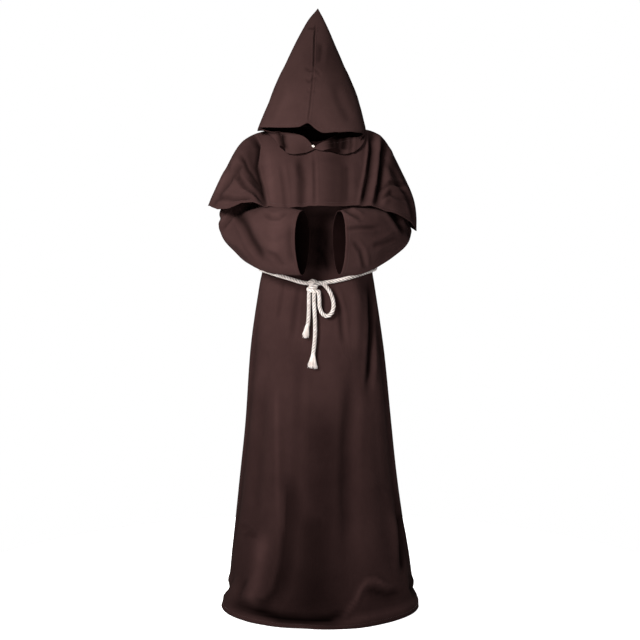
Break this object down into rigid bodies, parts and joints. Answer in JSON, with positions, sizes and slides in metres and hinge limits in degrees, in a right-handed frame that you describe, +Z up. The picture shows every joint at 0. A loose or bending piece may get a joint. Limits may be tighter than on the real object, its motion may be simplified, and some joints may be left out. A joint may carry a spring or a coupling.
{
  "type": "friar costume",
  "caption": "Hooded friar costume as worn: long brown robe with bell sleeves, short cape with pointed hood, and a knotted rope belt.",
  "frame": {"origin": "middle of the neck base, where the wearer's neck and shoulders carry the costume", "axes": "+Z up, -Y to the front of the costume, +X to the right as seen from the front"},
  "size_m": [0.6459, 0.5518, 1.8287],
  "materials": {
    "brown_satin": "dark brown polyester satin, soft sheen",
    "hood_satin": "dark brown polyester satin, soft sheen",
    "snap_metal": "small dull metal snap",
    "cotton_rope": "twisted off-white cotton rope, matt"
  },
  "bodies": {
    "root": {"robe_front": "brown_satin", "robe_back": "brown_satin", "robe_sleeve_left": "brown_satin", "robe_sleeve_right": "brown_satin", "cape_left": "brown_satin", "cape_right": "brown_satin", "hood_left": "hood_satin", "hood_right": "hood_satin", "neck_snap": "snap_metal", "belt_waist": "cotton_rope", "belt_knot": "cotton_rope", "belt_loop": "cotton_rope", "belt_end_short": "cotton_rope", "belt_end_long": "cotton_rope", "belt_tuft_short": "cotton_rope", "belt_tuft_long": "cotton_rope"}
  },
  "joints": []
}
